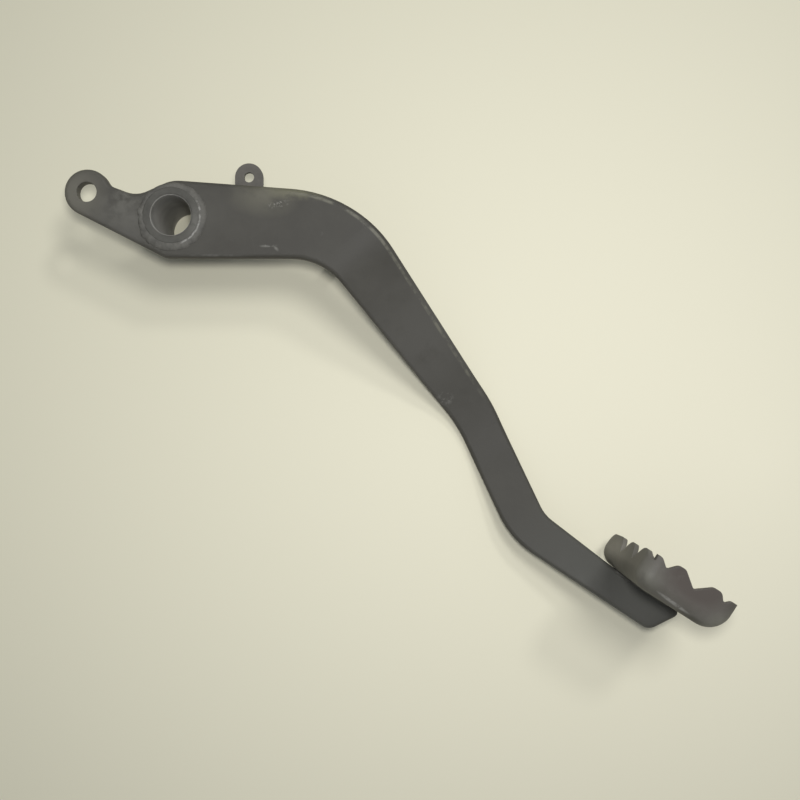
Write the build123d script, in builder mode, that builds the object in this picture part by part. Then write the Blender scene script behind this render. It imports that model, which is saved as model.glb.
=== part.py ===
from build123d import *
from math import cos, radians, sin, tan
import os

os.makedirs("parts", exist_ok=True)

# Rear brake pedal, a steel weldment. Millimetres and degrees.
# The origin is on the pivot axis at the boss's inboard end, +Z points outboard along the bore,
# and +X runs along the arm's root. The pedal lies on the boss end, the peg and the arm's knee at Z = 0.

# Pivot boss
bore_diameter = 16.0
boss_diameter = 22.6
boss_length = 42.5
bore_lead_in = 0.6      # chamfer at the outboard end of the bore
boss_edge_round = 0.6

# Arm plate
plate_thickness = 5.0
plate_edge_round = 0.8  # edges of the inner face
outer_edge_round = 1.6  # edges of the outer face
boss_proud = 1.2        # the boss stands this far out of the plate's outer face
boss_gap = 0.05         # radial gap between the boss and its hole in the plate

# Weld beads
weld_leg = 2.2
outer_weld_leg = 2.6    # low ring on the plate's outer face
outer_weld_lean = (0.8, -1.0)   # its outside is off the bore's centre, away from the plate's upper edge
small_weld_leg = 1.6

# Lever eye, behind the pivot
eye_x = -33.5
eye_y = 9.4
eye_radius = 9.1
clevis_hole_diameter = 8.0
neck_rise = 6.0         # the neck's upper edge aims this far above the eye's centre
neck_blend = 5.0

# Arm outline seen along the pivot axis
waist = (-14.0, 8.0)            # lowest point of the upper edge, between the eye and the boss
waist_radius = 11.0
crest_radius = 14.0
arch_corner = (73.0, 9.0)       # where the upper edge's two straight runs would meet
arch_radius = 54.0
root_bottom = 16.7              # lower edge of the root, below the pivot axis
heel_x = -2.4
heel_radius = 6.0
crook_x = 59.3                  # inner corner of the arch, on the lower edge
crook_radius = 26.0
shin_front = (130.5, -74.2)     # front edge, where the shin turns towards the ankle
shin_back = (115.5, -83.9)      # back edge, at the same place
shin_radius = 70.0
ankle_back = (137.8, -132.3)    # outer corner where the toe begins
ankle_back_radius = 36.0
ankle_front = (152.2, -121.9)   # inner corner, at the same place
ankle_front_radius = 15.0
toe_tip = (193.0, -167.8)
toe_tip_radius = 5.0
toe_end_heading = 27.0          # direction of the cut at the toe's end
toe_corner_radius = 2.4
seat_blend = 30.0               # where the upper edge runs into the tread's seat

# Bends of the plate across its length
fold_heading = -50.0    # direction in which the plate falls and rises, from +X
fall_start = 59.0       # first bend, measured along that direction from the pivot axis
fall_angle = 26.0
rise_angle = 12.5
fall_radius = 28.0
knee_radius = 62.0

# Switch tab
tab_x = 30.1
tab_y = 16.2
tab_hole_diameter = 4.0
tab_radius = 5.6
tab_thickness = 2.0
tab_overlap = 10.0      # how far the tab reaches down behind the plate, below its hole

# Spring peg
peg_x = 62.6
peg_y = -14.4
peg_diameter = 6.0
peg_groove_depth = 0.8
peg_groove_width = 3.0
peg_groove_height = 6.0     # middle of the groove, above the peg's free end
peg_end_chamfer = 0.5

# Foot tread, a pressed scoop with walls behind, outboard and in front, open above and inboard
tread_heading = -32.5       # forward direction of the tread, from +X
tread_back = 223.7          # rear face, measured forward from the pivot axis
tread_length = 39.0
tread_inboard = 8.0         # height of its inboard end over the boss end
tread_width = 62.0
tread_seat = -24.0          # underside, measured from the axis along the tread's own upward direction
tread_sheet = 2.0
rear_fold_radius = 6.5      # outside radii of the folds along the bottom
front_fold_radius = 9.5
end_fold_radius = 6.0       # all round the outboard wall
rim_height = 15.0
rear_rim_height = 14.2      # the rear wall is lower, most of all at its inboard end
inboard_rim_height = 12.2
lobe_radius = 6.0           # rounded inboard corners of the rear and front walls
crest_round = 6.0           # tops of the rear wall's teeth
end_crest_round = 2.6       # the same on the outboard wall
root_round = 1.3
rear_notch_width = 13.5
rear_notch_depth = 6.2
rear_notch_pitch = 18.6
rear_notch_first = 18.2     # from the outboard end to the nearest wide notch of the rear wall
rear_notch_count = 2
corner_notch_inset = 1.8    # shallow notch in the rear wall's outboard corner
corner_notch_width = 9.0
corner_notch_depth = 2.8
rear_cut_reach = 3.0        # how far the rear wall's notches reach round that corner
end_notch_place = 8.1       # along the outboard wall, from the rear face
end_notch_width = 7.0
end_notch_depth = 3.8
end_valley_place = 20.5
end_valley_width = 12.4
end_valley_depth = 4.8
tip_notch_place = 32.4      # small notch behind the front corner
tip_notch_width = 4.8
tip_notch_depth = 3.2
tip_height = 14.1
front_inboard_height = 9.0  # the front wall is low inboard and rises from here to the tip
front_rise_start = 40.0
front_rise_end = 58.0
front_bend_round = 8.0

through = 600.0             # longer than any cut or sweep through the whole part


# Heights and directions that several pieces share
plate_top = boss_length - boss_proud
plate_bottom = plate_top - plate_thickness
boss_radius = boss_diameter / 2
crest_y = boss_radius + weld_leg + plate_edge_round

fall_way = Vector(cos(radians(fold_heading)), sin(radians(fold_heading)), 0)
forward = Vector(cos(radians(tread_heading)), sin(radians(tread_heading)), 0)
upward = Vector(-forward.Y, forward.X, 0)
outboard = Vector(0, 0, 1)


def seat_crossing(start, heading):
    """Where a line in the plan from start along heading meets the tread's seat."""
    begin = Vector(*start)
    way = Vector(cos(radians(heading)), sin(radians(heading)), 0)
    return begin + way * ((tread_seat - begin.dot(upward)) / way.dot(upward))


def tread_point(along, above, height):
    """A point from its distances forward and upward of the pivot axis and its height."""
    return forward * along + upward * above + outboard * height


# Arm plate: its outline along the pivot axis is cut out of the bent sheet
eye = Vector(eye_x, eye_y)
heel = Vector(heel_x, -root_bottom)
heel_way = (heel - eye).normalized()
heel_cosine = eye_radius / (heel - eye).length
heel_side = Vector(heel_way.Y, -heel_way.X)
heel_tangent = eye + (heel_way * heel_cosine + heel_side * (1 - heel_cosine**2) ** 0.5) * eye_radius

# The knee's lowest point touches Z = 0
knee_dip = knee_radius * (
    cos(radians((fall_angle - rise_angle) / 2)) / cos(radians((fall_angle + rise_angle) / 2)) - 1
)
knee_along = fall_start + (plate_bottom + knee_dip) / tan(radians(fall_angle))
toe_run = through / 3
seat_start = tread_point(tread_back + rear_fold_radius / 2, tread_seat, 0)

with BuildPart() as pedal_arm:
    with BuildSketch(Plane.XY) as arm_outline:
        with BuildLine():
            corners = [
                (eye, 0),
                (heel_tangent, 0),
                (heel, heel_radius),
                ((crook_x, -root_bottom), crook_radius),
                (shin_back, shin_radius),
                (ankle_back, ankle_back_radius),
                (toe_tip, toe_tip_radius),
                (seat_crossing(toe_tip, toe_end_heading), toe_corner_radius),
                (seat_start, seat_blend),
                (ankle_front, ankle_front_radius),
                (shin_front, shin_radius),
                (arch_corner, arch_radius),
                ((0, crest_y), crest_radius),
                (waist, waist_radius),
                ((eye_x, eye_y + neck_rise), 0),
            ]
            FilletPolyline(
                [corner for corner, radius in corners],
                radius=[radius for corner, radius in corners],
                close=True,
            )
        make_face()
        with Locations(eye):
            Circle(eye_radius)
        neck_corner = Vector(eye_x + eye_radius, eye_y + neck_rise / 2)
        fillet(arm_outline.vertices().sort_by_distance(neck_corner)[0], neck_blend)
    extrude(amount=through)
    with BuildSketch(Plane(origin=(0, 0, 0), x_dir=fall_way, z_dir=fall_way.cross(outboard))):
        with BuildLine():
            FilletPolyline(
                (-through / 3, plate_bottom),
                (fall_start, plate_bottom),
                (knee_along, -knee_dip),
                (knee_along + toe_run, toe_run * tan(radians(rise_angle)) - knee_dip),
                radius=[fall_radius, knee_radius],
            )
            offset(amount=plate_thickness, side=Side.LEFT)
        make_face()
    extrude(amount=through, both=True, mode=Mode.INTERSECT)
    for facing, edge_round in ((1, outer_edge_round), (-1, plate_edge_round)):
        cut_sides = pedal_arm.faces().filter_by(lambda face: abs(face.normal_at().Z) < 0.1)
        broad_faces = pedal_arm.faces().filter_by(lambda face: face.normal_at().Z * facing > 0.8)
        fillet(cut_sides.edges() & broad_faces.edges(), edge_round)
    with Locations((0, 0, plate_top)):
        Hole(boss_radius + boss_gap)
    with Locations((eye_x, eye_y, plate_top)):
        Hole(clevis_hole_diameter / 2)

pedal_arm.part.label = "pedal_arm"
export_step(pedal_arm.part, "parts/pedal_arm.step")


# Pivot boss
with BuildPart() as pivot_boss:
    with BuildSketch(Plane.XY):
        Circle(boss_radius)
        Circle(bore_diameter / 2, mode=Mode.SUBTRACT)
    extrude(amount=boss_length)
    rims = pivot_boss.edges().filter_by(GeomType.CIRCLE).group_by(SortBy.RADIUS)
    fillet(rims[-1], boss_edge_round)
    chamfer(rims[0].sort_by(Axis.Z)[-1], bore_lead_in)

pivot_boss.part.label = "pivot_boss"
export_step(pivot_boss.part, "parts/pivot_boss.step")


# Weld beads round the boss, low on the outer face and a full fillet on the inner face
outer_rise = boss_proud - boss_edge_round

with BuildPart() as boss_weld_outer:
    with BuildSketch(Plane.XZ):
        with BuildLine():
            bead = SagittaArc(
                (boss_radius + outer_weld_leg, plate_top),
                (boss_radius, plate_top + outer_rise),
                -outer_rise / 4,
            )
            Polyline(bead @ 1, (boss_radius, plate_top), bead @ 0)
        make_face()
    revolve(axis=Axis.Z)
    with BuildSketch(Plane.XY):
        with Locations(outer_weld_lean):
            Circle(boss_radius + outer_weld_leg - Vector(*outer_weld_lean).length / 2)
    extrude(amount=through, mode=Mode.INTERSECT)

boss_weld_outer.part.label = "boss_weld_outer"
export_step(boss_weld_outer.part, "parts/boss_weld_outer.step")

with BuildPart() as boss_weld_inner:
    with BuildSketch(Plane.XZ):
        with BuildLine():
            bead = SagittaArc(
                (boss_radius + weld_leg, plate_bottom),
                (boss_radius, plate_bottom - weld_leg),
                weld_leg / 6,
            )
            Polyline(bead @ 1, (boss_radius, plate_bottom), bead @ 0)
        make_face()
    revolve(axis=Axis.Z)
    extrude(arm_outline.sketch, amount=through, mode=Mode.INTERSECT)

boss_weld_inner.part.label = "boss_weld_inner"
export_step(boss_weld_inner.part, "parts/boss_weld_inner.step")


# Switch tab, a sheet ear welded to the plate's inner face
with BuildPart() as switch_tab:
    with BuildSketch(Plane.XY.offset(plate_bottom - tab_thickness)):
        with Locations((tab_x, tab_y)):
            Circle(tab_radius)
            Rectangle(2 * tab_radius, tab_overlap, align=(Align.CENTER, Align.MAX))
            Circle(tab_hole_diameter / 2, mode=Mode.SUBTRACT)
    extrude(amount=tab_thickness)

switch_tab.part.label = "switch_tab"
export_step(switch_tab.part, "parts/switch_tab.step")

tab_foot = tab_y - tab_overlap

with BuildPart() as tab_weld:
    with BuildSketch(Plane.YZ.offset(tab_x - tab_radius)):
        with BuildLine():
            bead = SagittaArc(
                (tab_foot, plate_bottom - tab_thickness),
                (tab_foot - small_weld_leg, plate_bottom),
                small_weld_leg / 6,
            )
            Polyline(bead @ 1, (tab_foot, plate_bottom), bead @ 0)
        make_face()
    extrude(amount=2 * tab_radius)

tab_weld.part.label = "tab_weld"
export_step(tab_weld.part, "parts/tab_weld.step")


# Spring peg under the arm, with a groove for the return spring's hook
with BuildPart() as spring_peg:
    with BuildSketch(Plane.XY):
        with Locations((peg_x, peg_y)):
            Circle(peg_diameter / 2)
    extrude(amount=plate_bottom)
    add(pedal_arm.part, mode=Mode.SUBTRACT)
    chamfer(spring_peg.faces().sort_by(Axis.Z)[0].edges(), peg_end_chamfer)
    with BuildSketch(Plane.XY.offset(peg_groove_height - peg_groove_width / 2)):
        with Locations((peg_x, peg_y)):
            Circle(peg_diameter / 2)
            Circle(peg_diameter / 2 - peg_groove_depth, mode=Mode.SUBTRACT)
    extrude(amount=peg_groove_width, mode=Mode.SUBTRACT)

spring_peg.part.label = "spring_peg"
export_step(spring_peg.part, "parts/spring_peg.step")

with BuildPart() as peg_weld:
    with BuildSketch(Plane.XZ.offset(-peg_y)):
        with BuildLine():
            bead = SagittaArc(
                (peg_x + peg_diameter / 2 + small_weld_leg, plate_bottom),
                (peg_x + peg_diameter / 2, plate_bottom - small_weld_leg),
                small_weld_leg / 6,
            )
            Polyline(bead @ 1, (peg_x + peg_diameter / 2, plate_bottom), bead @ 0)
        make_face()
    revolve(axis=Axis((peg_x, peg_y, 0), (0, 0, 1)))
    extrude(arm_outline.sketch, amount=through, mode=Mode.INTERSECT)
    add(pedal_arm.part, mode=Mode.SUBTRACT)

peg_weld.part.label = "peg_weld"
export_step(peg_weld.part, "parts/peg_weld.step")


# Foot tread, pressed from sheet with a notched rim
def notch(place, width, depth, height):
    """The three corners of a V cut into a rim of this height."""
    return [(place - width / 2, height), (place, height - depth), (place + width / 2, height)]


def cut_above_rim(rim, lobe, crest):
    """Closed outline over a rim given by its corners, with rounded teeth and a rounded first corner."""
    clear = 2 * rim_height
    length, end_height = rim[-1]
    corners = [((-clear, 0), 0), ((0, 0), 0), (rim[0], lobe)]
    for before, corner, after in zip(rim, rim[1:], rim[2:]):
        is_root = corner[1] < min(before[1], after[1])
        corners.append((corner, root_round if is_root else crest))
    corners += [((length + clear, end_height), 0), ((length + clear, 2 * clear), 0), ((-clear, 2 * clear), 0)]
    FilletPolyline(
        [corner for corner, radius in corners],
        radius=[radius for corner, radius in corners],
        close=True,
    )


rear_rim = [(0, inboard_rim_height)]
for step in reversed(range(rear_notch_count)):
    place = tread_width - rear_notch_first - rear_notch_pitch * step
    height = inboard_rim_height + (rear_rim_height - inboard_rim_height) * place / tread_width
    rear_rim += notch(place, rear_notch_width, rear_notch_depth, height)
rear_rim += notch(tread_width - corner_notch_inset, corner_notch_width, corner_notch_depth, rear_rim_height)
rear_rim.append((tread_width + corner_notch_width, rear_rim_height))

end_rim = [
    (0, rear_rim_height),
    (end_notch_place - end_notch_width / 2, rear_rim_height),
    (end_notch_place, rim_height - end_notch_depth),
    (end_notch_place + end_notch_width / 2, rim_height),
    *notch(end_valley_place, end_valley_width, end_valley_depth, rim_height),
    (tip_notch_place - tip_notch_width / 2, rim_height),
    (tip_notch_place, rim_height - tip_notch_depth),
    (tip_notch_place + tip_notch_width / 2, tip_height),
    (tread_length, tip_height),
]
front_rim = [
    (0, front_inboard_height),
    (front_rise_start, front_inboard_height),
    (front_rise_end, tip_height),
    (tread_width, tip_height),
]

tread_front = tread_back + tread_length
rear_corner = tread_point(tread_back, tread_seat, tread_inboard)
front_corner = tread_point(tread_front, tread_seat, tread_inboard)
outer_corner = tread_point(tread_back, tread_seat, tread_inboard + tread_width)
up_axis = Axis(rear_corner, upward)

with BuildPart() as foot_tread:
    with BuildSketch(Plane(origin=rear_corner, x_dir=forward, z_dir=outboard)):
        with BuildLine():
            section = FilletPolyline(
                (0, rim_height),
                (0, 0),
                (tread_length, 0),
                (tread_length, rim_height),
                radius=[rear_fold_radius, front_fold_radius],
            )
            Line(section @ 1, section @ 0)
        make_face()
    extrude(amount=tread_width)
    outer_edges = foot_tread.faces().sort_by(Axis.Z)[-1].edges().sort_by(up_axis)
    fillet(outer_edges[:-1], end_fold_radius)
    open_faces = [foot_tread.faces().sort_by(up_axis)[-1], foot_tread.faces().sort_by(Axis.Z)[0]]
    offset(amount=-tread_sheet, openings=open_faces)
    with BuildSketch(Plane(origin=outer_corner, x_dir=forward, z_dir=outboard)):
        with BuildLine():
            cut_above_rim(end_rim, 0, end_crest_round)
        make_face()
    extrude(amount=-end_fold_radius, mode=Mode.SUBTRACT)
    with BuildSketch(Plane(origin=rear_corner, x_dir=outboard, z_dir=-forward)):
        with BuildLine():
            cut_above_rim(rear_rim, lobe_radius, crest_round)
        make_face()
    extrude(amount=-rear_cut_reach, mode=Mode.SUBTRACT)
    with BuildSketch(Plane(origin=front_corner, x_dir=outboard, z_dir=-forward)):
        with BuildLine():
            cut_above_rim(front_rim, lobe_radius, front_bend_round)
        make_face()
    extrude(amount=end_fold_radius, mode=Mode.SUBTRACT)

foot_tread.part.label = "foot_tread"
export_step(foot_tread.part, "parts/foot_tread.step")


# Weld beads between the toe's two faces and the tread's bottom
def toe_face_point(along, above_inner_face):
    """A point on the seat line, at a distance above the plate's inner face along the pivot axis."""
    place = forward * along + upward * tread_seat
    height = (place.dot(fall_way) - knee_along) * tan(radians(rise_angle)) - knee_dip
    return place + outboard * (height + above_inner_face)


tread_weld_start = tread_back + rear_fold_radius
tread_weld_end = tread_front - front_fold_radius
plate_rise = plate_thickness / cos(radians(rise_angle))

for name, above_inner_face in (("tread_weld_outer", plate_rise), ("tread_weld_inner", 0)):
    begin = toe_face_point(tread_weld_start, above_inner_face)
    way = toe_face_point(tread_weld_end, above_inner_face) - begin
    with BuildPart() as tread_weld:
        with BuildSketch(Plane(origin=begin, z_dir=way)):
            Circle(small_weld_leg)
        extrude(amount=way.length)
        add(pedal_arm.part, mode=Mode.SUBTRACT)
        add(foot_tread.part, mode=Mode.SUBTRACT)
    tread_weld.part.label = name
    export_step(tread_weld.part, f"parts/{name}.step")
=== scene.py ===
import math
import random

import bpy
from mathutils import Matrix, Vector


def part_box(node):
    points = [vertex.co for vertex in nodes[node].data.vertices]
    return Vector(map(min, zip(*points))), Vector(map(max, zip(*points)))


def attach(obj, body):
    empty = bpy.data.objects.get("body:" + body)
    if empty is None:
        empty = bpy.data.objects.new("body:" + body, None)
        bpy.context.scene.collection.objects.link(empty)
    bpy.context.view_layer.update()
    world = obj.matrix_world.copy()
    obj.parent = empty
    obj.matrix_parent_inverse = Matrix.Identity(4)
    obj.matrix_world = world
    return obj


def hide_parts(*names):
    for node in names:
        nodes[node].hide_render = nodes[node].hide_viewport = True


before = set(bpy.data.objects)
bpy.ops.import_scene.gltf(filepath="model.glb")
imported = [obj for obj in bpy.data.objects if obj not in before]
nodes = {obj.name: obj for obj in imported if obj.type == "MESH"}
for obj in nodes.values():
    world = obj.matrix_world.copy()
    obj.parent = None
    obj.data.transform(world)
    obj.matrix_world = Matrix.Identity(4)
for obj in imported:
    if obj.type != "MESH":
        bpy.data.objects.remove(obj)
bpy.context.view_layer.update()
print("frame loaded:", sorted(nodes))


def pick(*pieces):  # select only these, the first one active
    bpy.ops.object.select_all(action="DESELECT")
    for piece in pieces:
        piece.select_set(True)
    bpy.context.view_layer.objects.active = pieces[0]


def settle(piece, slotName, *standsFor):
    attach(piece, "root")
    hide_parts(*standsFor)


# small helpers for shader trees

def feed(tree, socket, value):  # plain values are set, outputs of other nodes are linked
    if isinstance(value, (int, float, tuple)):
        socket.default_value = value
    else:
        tree.links.new(value, socket)


def solid(colour):
    return (*colour, 1.0)


def objectPlace(tree):
    return tree.nodes.new("ShaderNodeTexCoord").outputs["Object"]


def mathNode(tree, operation, first, second=None, clamp=False):
    node = tree.nodes.new("ShaderNodeMath")
    node.operation = operation
    node.use_clamp = clamp
    feed(tree, node.inputs[0], first)
    if second is not None:
        feed(tree, node.inputs[1], second)
    return node.outputs[0]


def vectorNode(tree, operation, first, second=None):
    node = tree.nodes.new("ShaderNodeVectorMath")
    node.operation = operation
    feed(tree, node.inputs[0], first)
    if second is not None:
        feed(tree, node.inputs[1], second)
    return node.outputs["Value" if operation in ("DOT_PRODUCT", "DISTANCE", "LENGTH") else "Vector"]


def planOf(tree, coords):  # the place seen from above, height left out
    return vectorNode(tree, "MULTIPLY", coords, (1.0, 1.0, 0.0))


def splitAxes(tree, vector):
    node = tree.nodes.new("ShaderNodeSeparateXYZ")
    feed(tree, node.inputs[0], vector)
    return node.outputs


def ramp(tree, value, low, high):  # 0 below low, 1 above high, smooth between
    node = tree.nodes.new("ShaderNodeMapRange")
    node.interpolation_type = "SMOOTHSTEP"
    for label, part in (("Value", value), ("From Min", low), ("From Max", high)):
        feed(tree, node.inputs[label], part)
    return node.outputs["Result"]


def fall(tree, value, low, high):  # 1 below low, 0 above high
    return mathNode(tree, "SUBTRACT", 1.0, ramp(tree, value, low, high))


def noiseNode(tree, coords, scale, detail, roughness):
    node = tree.nodes.new("ShaderNodeTexNoise")
    settings = (("Vector", coords), ("Scale", scale), ("Detail", detail), ("Roughness", roughness))
    for label, part in settings:
        feed(tree, node.inputs[label], part)
    return node.outputs["Fac"]


def bevelNode(tree, radius):
    node = tree.nodes.new("ShaderNodeBevel")
    node.samples = 8
    feed(tree, node.inputs["Radius"], radius)
    return node.outputs["Normal"]


def surfaceNormal(tree):
    return tree.nodes.new("ShaderNodeNewGeometry").outputs["Normal"]


# shared shader groups

def newGroup(name, inputs, outputs):
    group = bpy.data.node_groups.new(name, "ShaderNodeTree")
    for label, value in inputs:
        kind = "NodeSocketVector" if isinstance(value, tuple) else "NodeSocketFloat"
        socket = group.interface.new_socket(name=label, in_out="INPUT", socket_type=kind)
        socket.default_value = value
    for label in outputs:
        group.interface.new_socket(name=label, in_out="OUTPUT", socket_type="NodeSocketFloat")
    start = group.nodes.new("NodeGroupInput").outputs
    end = group.nodes.new("NodeGroupOutput").inputs
    return group, start, end


def buildRubbedEdges():  # light where the paint is rubbed off the edges
    group, start, end = newGroup(
        "rubbedEdges", [("Reach", 0.001), ("Gain", 3.0), ("Patch Scale", 60.0)], ["Mask"])
    flatness = vectorNode(
        group, "DOT_PRODUCT", bevelNode(group, start["Reach"]), surfaceNormal(group))
    bent = mathNode(group, "SUBTRACT", 1.0, flatness, clamp=True)
    strong = mathNode(group, "MULTIPLY", bent, start["Gain"], clamp=True)
    patches = noiseNode(group, objectPlace(group), start["Patch Scale"], detail=5.0, roughness=0.65)
    broken = ramp(group, patches, low=0.38, high=0.62)
    feed(group, end["Mask"], mathNode(group, "MULTIPLY", strong, broken, clamp=True))
    return group


def buildPaintGrain():  # broad cloudy tone and a fine pebble for the bump
    group, start, end = newGroup(
        "paintGrain", [("Broad Scale", 30.0), ("Fine Scale", 900.0)], ["Tone", "Pebble"])
    coords = objectPlace(group)
    broad = noiseNode(group, coords, start["Broad Scale"], detail=6.0, roughness=0.6)
    fine = noiseNode(group, coords, start["Fine Scale"], detail=3.0, roughness=0.5)
    feed(group, end["Tone"], ramp(group, broad, low=0.3, high=0.7))
    feed(group, end["Pebble"], fine)
    return group


def buildHairScratches():  # short thin lines, roughly along one direction, slightly bent
    group, start, end = newGroup(
        "hairScratches",
        [("Turn", 0.0), ("Length Scale", 90.0), ("Across Scale", 1500.0), ("Level", 0.7)], ["Mask"])
    sway = {"scale": 40.0, "angle": 1.4}
    contrast = 9.0
    coords = objectPlace(group)
    bend = noiseNode(group, coords, sway["scale"], detail=1.0, roughness=0.55)
    bend = mathNode(group, "MULTIPLY", bend, sway["angle"])
    turn = group.nodes.new("ShaderNodeVectorRotate")
    turn.rotation_type = "Z_AXIS"
    feed(group, turn.inputs["Vector"], coords)
    feed(group, turn.inputs["Angle"], mathNode(group, "ADD", bend, start["Turn"]))
    turned = splitAxes(group, turn.outputs["Vector"])
    join = group.nodes.new("ShaderNodeCombineXYZ")
    for axis, scale in (("X", "Length Scale"), ("Y", "Across Scale"), ("Z", "Length Scale")):
        feed(group, join.inputs[axis], mathNode(group, "MULTIPLY", turned[axis], start[scale]))
    lines = noiseNode(group, join.outputs["Vector"], scale=1.0, detail=2.0, roughness=0.4)
    over = mathNode(group, "SUBTRACT", lines, start["Level"])
    feed(group, end["Mask"], mathNode(group, "MULTIPLY", over, contrast, clamp=True))
    return group


def buildWearAndLightPatch():  # soft ellipse on the piece, broken up by speckle; it draws rubbed wear and dust, and also painted light and painted shade
    group, start, end = newGroup(
        "wearAndLightPatch",
        [("Place", (0.0, 0.0, 0.0)), ("Size", (0.01, 0.01, 0.01)), ("Turn", (0.0, 0.0, 0.0)),
         ("Speckle", 200.0), ("Low", 0.35), ("High", 0.65), ("Amount", 1.0)], ["Mask"])
    coords = objectPlace(group)
    mapping = group.nodes.new("ShaderNodeMapping")
    mapping.vector_type = "TEXTURE"
    feed(group, mapping.inputs["Vector"], coords)
    for label, socket in (("Place", "Location"), ("Turn", "Rotation"), ("Size", "Scale")):
        feed(group, mapping.inputs[socket], start[label])
    ball = group.nodes.new("ShaderNodeTexGradient")
    ball.gradient_type = "SPHERICAL"
    feed(group, ball.inputs["Vector"], mapping.outputs["Vector"])
    specks = noiseNode(group, coords, start["Speckle"], detail=4.0, roughness=0.6)
    specks = ramp(group, specks, start["Low"], start["High"])
    patch = mathNode(group, "MULTIPLY", ball.outputs["Fac"], specks)
    feed(group, end["Mask"], mathNode(group, "MULTIPLY", patch, start["Amount"], clamp=True))
    return group


rubbedEdges = buildRubbedEdges()
paintGrain = buildPaintGrain()
hairScratches = buildHairScratches()
wearAndLightPatch = buildWearAndLightPatch()
print("shader groups ready")


def placeGroup(tree, group, **values):  # Fine_Scale stands for the input Fine Scale
    node = tree.nodes.new("ShaderNodeGroup")
    node.node_tree = group
    for label, value in values.items():
        node.inputs[label.replace("_", " ")].default_value = value
    return node.outputs


def mixColour(tree, mask, under, over):
    node = tree.nodes.new("ShaderNodeMix")
    node.data_type = "RGBA"
    feed(tree, node.inputs[0], mask)
    for index, value in ((6, under), (7, over)):  # the colour pair of the mix node
        feed(tree, node.inputs[index], solid(value) if isinstance(value, tuple) else value)
    return node.outputs[2]


def archLine(tree, coords, wear):  # thin rubbed line that follows the arch's outer edge
    across = (wear["way"][1], -wear["way"][0], 0.0)
    plan = planOf(tree, coords)
    fromCentre = vectorNode(tree, "DISTANCE", plan, wear["centre"])
    roundInset = mathNode(tree, "SUBTRACT", wear["radius"], fromCentre)
    fromEnd = vectorNode(tree, "SUBTRACT", plan, wear["end"])
    along = vectorNode(tree, "DOT_PRODUCT", fromEnd, wear["way"])
    straightInset = vectorNode(tree, "DOT_PRODUCT", fromEnd, across)
    inset = tree.nodes.new("ShaderNodeMix")  # round part first, straight part past the arch's end
    feed(tree, inset.inputs[0], mathNode(tree, "GREATER_THAN", along, 0.0))
    feed(tree, inset.inputs[2], roundInset)
    feed(tree, inset.inputs[3], straightInset)
    off = mathNode(tree, "SUBTRACT", inset.outputs[0], wear["inset"])
    off = mathNode(tree, "ABSOLUTE", off)
    line = fall(tree, off, wear["width"] * wear["core"], wear["width"])
    sideways = splitAxes(tree, coords)["X"]
    begun = ramp(tree, sideways, wear["begin"] - wear["blend"], wear["begin"] + wear["blend"])
    ended = fall(tree, along, wear["length"] * wear["tail"], wear["length"])
    facing = ramp(tree, splitAxes(tree, surfaceNormal(tree))["Z"], *wear["facing"])
    specks = noiseNode(tree, coords, wear["speckle"], detail=5.0, roughness=0.65)
    mask = ramp(tree, specks, *wear["cut"])
    for part in (line, begun, ended, facing, wear["amount"]):
        mask = mathNode(tree, "MULTIPLY", mask, part)
    return mask


def boreMask(tree, coords, bore):  # 1 on the wall of the pivot hole, broken by speckle: where pale colour is painted in as light against the shade inside the tube
    reach = vectorNode(tree, "LENGTH", planOf(tree, coords))
    inside = fall(tree, reach, bore["radius"], bore["radius"] + bore["blend"])
    specks = noiseNode(tree, coords, bore["speckle"], detail=3.0, roughness=0.5)
    return mathNode(tree, "MULTIPLY", inside, ramp(tree, specks, *bore["cut"]))


def paintMaterial(look):  # worn paint over steel, with painted light and shade in some of its spots, shared by all the pieces with their own values
    material = bpy.data.materials.new(look["name"])
    material.use_nodes = True
    tree = material.node_tree
    shader = tree.nodes["Principled BSDF"]
    coords = objectPlace(tree)
    grain = placeGroup(
        tree, paintGrain, Broad_Scale=look["broadScale"], Fine_Scale=look["fineScale"])
    edges = placeGroup(
        tree, rubbedEdges, Reach=look["edgeReach"], Gain=look["edgeGain"],
        Patch_Scale=look["edgePatches"])
    lines = placeGroup(
        tree, hairScratches, Turn=look["lineTurn"], Length_Scale=look["lineLength"],
        Across_Scale=look["lineAcross"], Level=look["lineLevel"])
    colour = mixColour(tree, grain["Tone"], look["dark"], look["light"])
    for spot in look["spots"]:
        patch = placeGroup(
            tree, wearAndLightPatch, Place=spot["place"], Size=spot["size"],
            Turn=(0.0, 0.0, spot.get("turn", 0.0)), Speckle=spot["speckle"],
            Low=spot["cut"][0], High=spot["cut"][1], Amount=spot["amount"])
        colour = mixColour(tree, patch["Mask"], colour, spot["colour"])
    if "arch" in look:
        arch = look["arch"]
        colour = mixColour(tree, archLine(tree, coords, arch), colour, arch["colour"])
    # pale colour on the wall of the pivot hole: painted light that lifts the shade inside the tube
    if "bore" in look:
        bore = look["bore"]
        colour = mixColour(tree, boreMask(tree, coords, bore), colour, bore["colour"])
    colour = mixColour(tree, lines["Mask"], colour, look["lineColour"])
    colour = mixColour(tree, edges["Mask"], colour, look["edgeColour"])
    feed(tree, shader.inputs["Base Color"], colour)
    rough = tree.nodes.new("ShaderNodeMapRange")
    rough.inputs["To Min"].default_value = look["roughness"][0]
    rough.inputs["To Max"].default_value = look["roughness"][1]
    feed(tree, rough.inputs["Value"], grain["Tone"])
    feed(tree, shader.inputs["Roughness"], rough.outputs["Result"])
    bump = tree.nodes.new("ShaderNodeBump")
    bump.inputs["Strength"].default_value = look["bump"]
    bump.inputs["Distance"].default_value = look["bumpDepth"]
    feed(tree, bump.inputs["Normal"], bevelNode(tree, look["softEdge"]))
    feed(tree, bump.inputs["Height"], grain["Pebble"])
    feed(tree, shader.inputs["Normal"], bump.outputs["Normal"])
    shader.inputs["Specular IOR Level"].default_value = look["specular"]
    return material


def dress(piece, material):
    piece.data.materials.clear()
    piece.data.materials.append(material)


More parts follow.
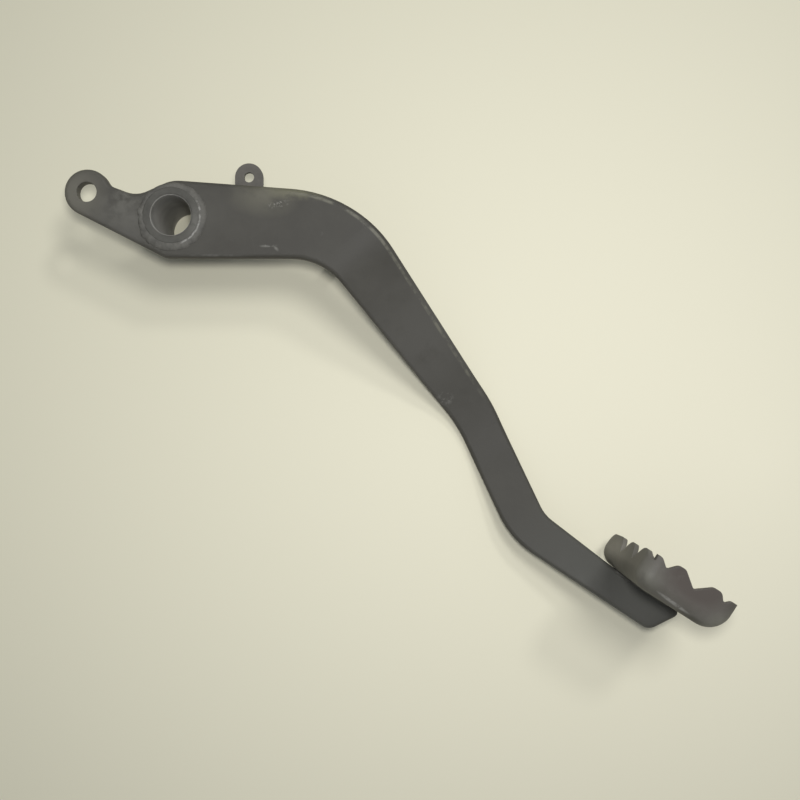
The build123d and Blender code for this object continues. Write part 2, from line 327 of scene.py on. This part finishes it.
# what the arm, the tab, the boss and the welds have in common
steelPaint = {
    "fineScale": 1400.0, "edgeReach": 0.0012, "edgePatches": 70.0,
    "lineTurn": 0.2, "lineLength": 90.0, "lineAcross": 1600.0, "lineLevel": 0.7,
    "lineColour": (0.07, 0.068, 0.062),
    "roughness": (0.55, 0.68), "specular": 0.24,
    "bump": 0.12, "bumpDepth": 0.0002, "softEdge": 0.0004,
}

# paint on the arm, with the marks the photograph shows and some painted light
armLook = {
    **steelPaint,
    "name": "armPaint",
    "dark": (0.046, 0.0438, 0.0378),
    "light": (0.069, 0.0663, 0.0576),
    "broadScale": 32.0, "edgeGain": 2.0,
    "edgeColour": (0.1, 0.098, 0.088),
    "arch": {
        "centre": (0.0433, -0.043, 0.0), "radius": 0.054,
        "end": (0.0877, -0.0123, 0.0), "way": (0.5686, -0.8226, 0.0),  # where the round part ends
        "inset": 0.0019, "width": 0.0009, "core": 0.3,
        "begin": 0.05, "blend": 0.008, "length": 0.075, "tail": 0.75, "facing": (0.3, 0.6),
        "speckle": 160.0, "cut": (0.36, 0.62), "amount": 0.8, "colour": (0.16, 0.155, 0.122)},
    "spots": [
        # dusty band by the tab
        {"place": (0.046, 0.0098, 0.0413), "size": (0.019, 0.0042, 0.01), "turn": -0.1,
         "speckle": 260.0, "cut": (0.25, 0.65), "amount": 1.7, "colour": (0.125, 0.121, 0.082)},
        # wider haze of dust under the tab
        {"place": (0.036, 0.0075, 0.0413), "size": (0.016, 0.009, 0.01), "turn": -0.1,
         "speckle": 120.0, "cut": (0.15, 0.6), "amount": 0.95, "colour": (0.118, 0.113, 0.088)},
        # chips below the dust
        {"place": (0.0425, 0.0045, 0.0413), "size": (0.005, 0.0018, 0.004), "turn": 0.2,
         "speckle": 900.0, "cut": (0.5, 0.62), "amount": 2.0, "colour": (0.16, 0.155, 0.135)},
        # small rubbed arc above the lower edge, in two pieces
        {"place": (0.0385, -0.012, 0.0413), "size": (0.004, 0.0007, 0.004), "turn": 0.06,
         "speckle": 500.0, "cut": (0.4, 0.56), "amount": 1.5, "colour": (0.15, 0.147, 0.132)},
        {"place": (0.0415, -0.0129, 0.0413), "size": (0.0018, 0.0008, 0.004), "turn": -0.9,
         "speckle": 500.0, "cut": (0.3, 0.56), "amount": 1.3, "colour": (0.14, 0.137, 0.122)},
        # thin pale line along the root's lower edge: rubbed paint and a painted edge highlight
        {"place": (0.0178, -0.0158, 0.0413), "size": (0.016, 0.0006, 0.003),
         "speckle": 300.0, "cut": (0.3, 0.6), "amount": 0.9, "colour": (0.12, 0.118, 0.108)},
        # scuff on the shin
        {"place": (0.11, -0.0722, 0.0092), "size": (0.0042, 0.0036, 0.006),
         "speckle": 650.0, "cut": (0.48, 0.62), "amount": 1.9, "colour": (0.15, 0.146, 0.132)},
        # greyer, mottled neck between the eye and the boss
        {"place": (-0.0175, 0.003, 0.0413), "size": (0.013, 0.012, 0.01),
         "speckle": 260.0, "cut": (0.36, 0.66), "amount": 0.9, "colour": (0.135, 0.132, 0.114)},
        {"place": (-0.012, 0.0, 0.0413), "size": (0.036, 0.024, 0.02),
         "speckle": 90.0, "cut": (0.2, 0.65), "amount": 0.85, "colour": (0.1, 0.097, 0.086)},
        # paler rear side of the eye
        {"place": (-0.037, 0.009, 0.0413), "size": (0.013, 0.016, 0.012),
         "speckle": 140.0, "cut": (0.1, 0.5), "amount": 1.3, "colour": (0.118, 0.113, 0.093)},
        # greyer shin
        {"place": (0.103, -0.05, 0.02), "size": (0.045, 0.05, 0.05),
         "speckle": 60.0, "cut": (0.1, 0.5), "amount": 1.0, "colour": (0.084, 0.0812, 0.073)},
        # greyer foot; paler still at the toe, painted light that lifts the tread's shadow there
        {"place": (0.168, -0.147, 0.02), "size": (0.042, 0.036, 0.05),
         "speckle": 60.0, "cut": (0.1, 0.5), "amount": 1.0, "colour": (0.072, 0.0722, 0.064)},
        {"place": (0.191, -0.158, 0.035), "size": (0.02, 0.018, 0.04),
         "speckle": 60.0, "cut": (0.1, 0.4), "amount": 1.2, "colour": (0.105, 0.1045, 0.093)},
    ],
}
armPaint = paintMaterial(armLook)
for name in ("pedal_arm", "spring_peg"):
    dress(nodes[name], armPaint)

tabLook = {
    **steelPaint,
    "name": "tabPaint",
    "dark": (0.076, 0.0715, 0.064),
    "light": (0.114, 0.107, 0.093),
    "broadScale": 160.0, "edgeGain": 2.5,
    "edgeColour": (0.13, 0.126, 0.11),
    "spots": [],
}
dress(nodes["switch_tab"], paintMaterial(tabLook))

bossLook = {
    **steelPaint,
    "name": "bossPaint",
    "dark": (0.053, 0.052, 0.046),
    "light": (0.087, 0.085, 0.075),
    "broadScale": 130.0, "edgeReach": 0.001, "edgeGain": 1.0,
    "edgeColour": (0.11, 0.108, 0.097),
    # pale wall of the pivot hole: painted light against the shade deep inside the tube
    "bore": {
        "radius": 0.00798, "blend": 0.0005,
        "speckle": 70.0, "cut": (0.0, 0.6), "colour": (0.34, 0.331, 0.3)},
    "spots": [
        # greyer lip towards the arm
        {"place": (0.0098, -0.003, 0.0425), "size": (0.0035, 0.0095, 0.004), "turn": -0.2,
         "speckle": 320.0, "cut": (0.3, 0.6), "amount": 0.8, "colour": (0.13, 0.127, 0.114)},
    ],
}
dress(nodes["pivot_boss"], paintMaterial(bossLook))

treadLook = {
    "name": "treadPaint",
    "dark": (0.086, 0.082, 0.071),
    "light": (0.122, 0.117, 0.102),
    "broadScale": 80.0, "fineScale": 1500.0,
    "edgeReach": 0.001, "edgeGain": 1.8, "edgePatches": 120.0,
    "edgeColour": (0.14, 0.135, 0.118),
    "lineTurn": -0.9, "lineLength": 120.0, "lineAcross": 1700.0, "lineLevel": 0.71,
    "lineColour": (0.12, 0.116, 0.103),
    "roughness": (0.55, 0.7), "specular": 0.4,
    "bump": 0.14, "bumpDepth": 0.0002, "softEdge": 0.0007,
    "spots": [
        # brownish outboard wall; its darkening towards the rim is painted shade
        {"place": (0.2, -0.1405, 0.07), "size": (0.021, 0.012, 0.012), "turn": -0.567,
         "speckle": 150.0, "cut": (0.1, 0.5), "amount": 1.7, "colour": (0.06, 0.05, 0.044)},
        # pale corner: a painted highlight where the rounded corner catches the light
        {"place": (0.1818, -0.1385, 0.067), "size": (0.0075, 0.0075, 0.009), "turn": 0.4,
         "speckle": 240.0, "cut": (0.2, 0.6), "amount": 0.8, "colour": (0.135, 0.132, 0.111)},
        # painted shade in the rear fold, above the toe
        {"place": (0.178, -0.1418, 0.044), "size": (0.0075, 0.0065, 0.034), "turn": -0.567,
         "speckle": 90.0, "cut": (0.05, 0.4), "amount": 1.0, "colour": (0.07, 0.068, 0.06)},
        # paler rear tooth
        {"place": (0.1788, -0.1345, 0.021), "size": (0.0075, 0.0085, 0.028),
         "speckle": 140.0, "cut": (0.1, 0.5), "amount": 1.5, "colour": (0.19, 0.181, 0.158)},
        # bright streak along the bottom fold: a painted highlight on the bend, with rubbed paint
        {"place": (0.1916, -0.1481, 0.0685), "size": (0.0085, 0.0008, 0.0025), "turn": -0.63,
         "speckle": 420.0, "cut": (0.3, 0.55), "amount": 2.0, "colour": (0.23, 0.225, 0.205)},
        # dark strip under it: painted shade where the wall curls under
        {"place": (0.1974, -0.1542, 0.066), "size": (0.008, 0.0024, 0.006), "turn": -0.45,
         "speckle": 160.0, "cut": (0.1, 0.45), "amount": 1.4, "colour": (0.055, 0.053, 0.046)},
        # paler front corner: a painted highlight where the rim curls towards the light
        {"place": (0.209, -0.158, 0.066), "size": (0.012, 0.008, 0.01), "turn": 0.3,
         "speckle": 200.0, "cut": (0.2, 0.6), "amount": 1.3, "colour": (0.175, 0.172, 0.143)},
    ],
}
dress(nodes["foot_tread"], paintMaterial(treadLook))
print("CAD nodes dressed")


# weld beads, one drop modelled once and copied along each run
def polar(radius, angle):
    return radius * math.cos(angle), radius * math.sin(angle)


highlightAndWearArc = {"radius": 0.0116, "height": 0.0424, "angles": (0.35, 0.02, -0.33, -0.7, -1.0)}
weldLook = {
    **steelPaint,
    "name": "weldPaint",
    "dark": (0.072, 0.07, 0.063),
    "light": (0.122, 0.118, 0.104),
    "broadScale": 220.0, "edgeReach": 0.0006, "edgeGain": 1.5, "edgePatches": 160.0,
    "edgeColour": (0.15, 0.147, 0.13),
    "spots": [
        # thin bright arc round the boss, on the side that faces the arm: a painted highlight where
        # the weld's crest catches the light, with rubbed paint
        *({"place": (*polar(highlightAndWearArc["radius"], angle), highlightAndWearArc["height"]),
           "size": (0.0005, 0.0034, 0.003), "turn": angle,
           "speckle": 520.0, "cut": (0.4, 0.6), "amount": 1.7, "colour": (0.26, 0.255, 0.235)}
          for angle in highlightAndWearArc["angles"]),
        # greyer lumps on the side towards the eye
        {"place": (-0.0128, -0.002, 0.0415), "size": (0.0024, 0.008, 0.003), "turn": 0.15,
         "speckle": 480.0, "cut": (0.42, 0.62), "amount": 1.3, "colour": (0.15, 0.147, 0.13)},
    ],
}
weldPaint = paintMaterial(weldLook)


def weldDrop():
    shape = {"segments": 14, "rings": 9, "tailFrom": 0.3, "tailPull": 0.25}
    bpy.ops.mesh.primitive_uv_sphere_add(
        segments=shape["segments"], ring_count=shape["rings"], radius=1.0)
    ball = bpy.context.object
    bpy.ops.object.mode_set(mode="EDIT")
    bpy.ops.mesh.select_all(action="DESELECT")
    bpy.ops.object.mode_set(mode="OBJECT")
    for vertex in ball.data.vertices:
        vertex.select = vertex.co.x > shape["tailFrom"]  # the side drawn out as the bead is laid
    bpy.ops.object.mode_set(mode="EDIT")
    bpy.ops.transform.translate(value=(shape["tailPull"], 0.0, 0.0), use_proportional_edit=False)
    bpy.ops.object.mode_set(mode="OBJECT")
    return ball


def weldBead(name, node, spots, run):
    copies = []
    for spot in spots:
        pick(drop)
        bpy.ops.object.duplicate(linked=False)
        copy = bpy.context.object
        copy.location = spot["place"]
        copy.rotation_euler = (0.0, 0.0, spot["turn"])
        copy.scale = spot["size"]
        copies.append(copy)
    pick(*copies)
    bpy.ops.object.join()
    bead = bpy.context.object
    bead.name = name
    bpy.ops.object.transform_apply(location=True, rotation=True, scale=True)
    remesh = bead.modifiers.new("fuse", "REMESH")
    remesh.mode = "VOXEL"
    remesh.voxel_size = run["grain"]
    bpy.ops.object.modifier_apply(modifier="fuse")
    smooth = bead.modifiers.new("soften", "SMOOTH")
    smooth.factor = 0.5
    smooth.iterations = run["softness"]
    bpy.ops.object.modifier_apply(modifier="soften")
    bpy.ops.object.shade_smooth()
    dress(bead, weldPaint)
    settle(bead, "weld", node)
    print(name, "drops:", len(spots), "faces:", len(bead.data.polygons))


def ringAngles(count):
    return [2 * math.pi * step / count for step in range(count)]


drop = weldDrop()
hand = random.Random(11)

bossRing = {
    "count": 52, "radius": 0.0115, "centre": 0.0408,
    "length": 0.0018, "near": 0.0014, "far": 0.0029, "rise": 0.0016,
    "lean": math.radians(-51), "widen": 1.6,  # widest away from the plate's upper edge
    # rough lumps on the side towards the eye, between two angles in degrees
    "lumps": (160, 235), "lumpOut": (-0.0002, 0.0006), "lumpUp": 0.0002, "lumpShake": (-0.5, 1.0),
    "shakeLength": (0.9, 1.15), "shakeAcross": (0.94, 1.05), "shakeRise": (0.96, 1.03),
    "grain": 0.00022, "softness": 12}
ringSpots = []
for angle in ringAngles(bossRing["count"]):
    away = (1 + math.cos(angle - bossRing["lean"])) / 2  # 0 towards the upper edge, 1 away from it
    share = min(1.0, away * bossRing["widen"])
    across = bossRing["near"] + (bossRing["far"] - bossRing["near"]) * share
    lump = 1.0 if bossRing["lumps"][0] < math.degrees(angle) < bossRing["lumps"][1] else 0.0
    radius = bossRing["radius"] + lump * hand.uniform(*bossRing["lumpOut"])
    length = bossRing["length"] * hand.uniform(*bossRing["shakeLength"])
    across = across * hand.uniform(*bossRing["shakeAcross"])
    rise = bossRing["rise"] * hand.uniform(*bossRing["shakeRise"])
    rise = rise + bossRing["lumpUp"] * lump * hand.uniform(*bossRing["lumpShake"])
    ringSpots.append({
        "place": (*polar(radius, angle), bossRing["centre"]),
        "turn": angle + math.pi / 2, "size": (length, across, rise)})
weldBead("bossBeadOuter", "boss_weld_outer", ringSpots, bossRing)

innerRing = {
    "count": 52, "radius": 0.0119, "under": 0.0363, "sink": 0.0003,
    "length": 0.0016, "across": 0.0015, "rise": 0.0015,
    # thinner by the plate's edge, between two angles in degrees
    "edge": (88, 168), "edgeRadius": 0.0116, "edgeAcross": 0.001,
    "shakeLength": (0.9, 1.15), "shakeRise": (0.9, 1.1),
    "grain": 0.00025, "softness": 5}
innerSpots = []
for angle in ringAngles(innerRing["count"]):
    byEdge = innerRing["edge"][0] < math.degrees(angle) < innerRing["edge"][1]
    radius = innerRing["edgeRadius" if byEdge else "radius"]
    across = innerRing["edgeAcross" if byEdge else "across"]
    length = innerRing["length"] * hand.uniform(*innerRing["shakeLength"])
    rise = innerRing["rise"] * hand.uniform(*innerRing["shakeRise"])
    innerSpots.append({
        "place": (*polar(radius, angle), innerRing["under"] - innerRing["sink"]),
        "turn": angle + math.pi / 2, "size": (length, across, rise)})
weldBead("bossBeadInner", "boss_weld_inner", innerSpots, innerRing)

pegLow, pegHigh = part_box("spring_peg")
pegRing = {
    "count": 15, "x": (pegLow.x + pegHigh.x) / 2, "y": (pegLow.y + pegHigh.y) / 2,
    "radius": 0.0033, "sink": 0.0003, "half": 0.0011,
    "shakeLength": (0.9, 1.15), "shakeRise": (0.9, 1.1),
    "grain": 0.0002, "softness": 5}
pegSpots = []
for angle in ringAngles(pegRing["count"]):
    overX, overY = polar(pegRing["radius"], angle)
    length = pegRing["half"] * hand.uniform(*pegRing["shakeLength"])
    rise = pegRing["half"] * hand.uniform(*pegRing["shakeRise"])
    pegSpots.append({
        "place": (pegRing["x"] + overX, pegRing["y"] + overY, pegHigh.z - pegRing["sink"]),
        "turn": angle + math.pi / 2, "size": (length, pegRing["half"], rise)})
weldBead("pegBead", "peg_weld", pegSpots, pegRing)

tabLow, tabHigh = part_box("tab_weld")
tabRun = {
    "pitch": 0.0013, "first": 0.6, "inset": 0.0004, "sink": 0.0005,
    "length": 0.001, "half": 0.0011, "rise": 0.0013, "shake": (0.9, 1.1),
    "grain": 0.0002, "softness": 5}
tabSpots = []
for step in range(int((tabHigh.x - tabLow.x) / tabRun["pitch"])):
    length = tabRun["length"] * hand.uniform(*tabRun["shake"])
    rise = tabRun["rise"] * hand.uniform(*tabRun["shake"])
    tabSpots.append({
        "place": (tabLow.x + tabRun["pitch"] * (step + tabRun["first"]),
                  tabHigh.y - tabRun["inset"], tabHigh.z - tabRun["sink"]),
        "turn": 0.0, "size": (length, tabRun["half"], rise)})
weldBead("tabBead", "tab_weld", tabSpots, tabRun)

treadRun = {
    "count": 15, "inset": 0.0012, "sink": 0.0014, "length": 0.0014, "half": 0.0012,
    "shakeLength": (0.9, 1.1), "shakeRise": (0.95, 1.15),
    "grain": 0.0002, "softness": 5}
treadBeads = (("treadBeadOuter", "tread_weld_outer"), ("treadBeadInner", "tread_weld_inner"))
for beadName, nodeName in treadBeads:
    low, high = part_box(nodeName)
    begin = (low.x + treadRun["inset"], high.y - treadRun["inset"], low.z + treadRun["sink"])
    end = (high.x - treadRun["inset"], low.y + treadRun["inset"], high.z - treadRun["sink"])
    turn = math.atan2(end[1] - begin[1], end[0] - begin[0])
    runSpots = []
    for step in range(treadRun["count"]):
        share = step / (treadRun["count"] - 1)
        length = treadRun["length"] * hand.uniform(*treadRun["shakeLength"])
        rise = treadRun["half"] * hand.uniform(*treadRun["shakeRise"])
        runSpots.append({
            "place": tuple(a + (b - a) * share for a, b in zip(begin, end)),
            "turn": turn, "size": (length, treadRun["half"], rise)})
    weldBead(beadName, nodeName, runSpots, treadRun)
bpy.data.objects.remove(drop)
print("weld beads done")


# floor, light and camera
floorLook = {
    "size": 4.0, "centre": (0.09, -0.07, 0.0),
    # the second colour is the floor in a painted pool of light round the pedal
    "pale": (0.655, 0.632, 0.487), "bright": (0.845, 0.81, 0.637),
    "lightPoolPlace": (0.16, -0.03, 0.0), "lightPoolSize": (0.42, 0.36, 1.0),
    "roughness": 0.6, "specular": 0.2,
    "backdrop": (0.6, 0.585, 0.47), "fade": (0.24, 0.42)}
roomLook = {"colour": (0.93, 0.97, 1.08), "strength": 0.22}


def seenRays(tree):  # 1 for what the camera and reflections see, 0 for light on the pieces
    rays = tree.nodes.new("ShaderNodeLightPath").outputs
    seen = mathNode(tree, "ADD", rays["Is Camera Ray"], rays["Is Glossy Ray"])
    return mathNode(tree, "ADD", seen, rays["Is Transmission Ray"], clamp=True)


def mixShaders(tree, mask, first, second, output):
    node = tree.nodes.new("ShaderNodeMixShader")
    feed(tree, node.inputs[0], mask)
    feed(tree, node.inputs[1], first.outputs[0])
    feed(tree, node.inputs[2], second.outputs[0])
    feed(tree, tree.nodes[output].inputs["Surface"], node.outputs[0])


bpy.ops.mesh.primitive_plane_add(size=floorLook["size"], location=floorLook["centre"])
floor = bpy.context.object
floor.name = "floor"
floorMaterial = bpy.data.materials.new("paleTable")
floorMaterial.use_nodes = True
floorTree = floorMaterial.node_tree
table = floorTree.nodes["Principled BSDF"]
# paler pool of floor colour round the pedal: painted light on the table
paintedLightPool = placeGroup(
    floorTree, wearAndLightPatch, Place=floorLook["lightPoolPlace"], Size=floorLook["lightPoolSize"],
    Low=-1.0, High=0.0)  # without speckle
feed(floorTree, table.inputs["Base Color"],
     mixColour(floorTree, paintedLightPool["Mask"], floorLook["pale"], floorLook["bright"]))
table.inputs["Roughness"].default_value = floorLook["roughness"]
table.inputs["Specular IOR Level"].default_value = floorLook["specular"]
# far from the pedal the floor turns into the backdrop
far = ramp(floorTree, vectorNode(floorTree, "LENGTH", objectPlace(floorTree)), *floorLook["fade"])
plain = floorTree.nodes.new("ShaderNodeEmission")
plain.inputs["Color"].default_value = solid(floorLook["backdrop"])
farSeen = mathNode(floorTree, "MULTIPLY", far, seenRays(floorTree))
mixShaders(floorTree, farSeen, table, plain, "Material Output")
dress(floor, floorMaterial)

world = bpy.data.worlds.new("room")
bpy.context.scene.world = world
world.use_nodes = True
roomTree = world.node_tree
roomLight = roomTree.nodes["Background"]
roomLight.inputs["Color"].default_value = solid(roomLook["colour"])
roomLight.inputs["Strength"].default_value = roomLook["strength"]
backdrop = roomTree.nodes.new("ShaderNodeBackground")
backdrop.inputs["Color"].default_value = solid(floorLook["backdrop"])
mixShaders(roomTree, seenRays(roomTree), roomLight, backdrop, "World Output")

lamps = [
    {"name": "lampByCamera", "place": (0.098, -0.045, 0.46), "size": 0.05, "power": 0.92},
    {"name": "lampOverhead", "place": (0.3, 0.2, 0.854), "size": 0.24, "power": 2.5},
    {"name": "lampWindow", "place": (1.25, 1.4, 2.35), "size": 0.4, "power": 11.2},
]
middle = (0.07, -0.06, 0.0)  # what the lamps point at
for lamp in lamps:
    light = bpy.data.lights.new(lamp["name"], "AREA")
    light.shape = "DISK"
    light.size = lamp["size"]
    light.energy = lamp["power"]
    holder = bpy.data.objects.new(lamp["name"], light)
    bpy.context.scene.collection.objects.link(holder)
    holder.location = lamp["place"]
    aim = [m - p for m, p in zip(middle, lamp["place"])]
    tilt = math.acos(-aim[2] / math.sqrt(sum(value * value for value in aim)))
    holder.rotation_euler = (tilt, 0.0, math.atan2(aim[1], aim[0]) - math.pi / 2)

view = {"place": (0.09065, -0.0731, 0.4373), "lens": 45.0, "sensor": 36.0, "nearest": 0.01}
cameraData = bpy.data.cameras.new("photoCamera")
cameraData.lens = view["lens"]
cameraData.sensor_width = view["sensor"]
cameraData.clip_start = view["nearest"]
camera = bpy.data.objects.new("photoCamera", cameraData)
bpy.context.scene.collection.objects.link(camera)
camera.location = view["place"]
bpy.context.scene.camera = camera
bpy.context.scene.view_settings.view_transform = "Standard"
print("floor, lamps and camera set")
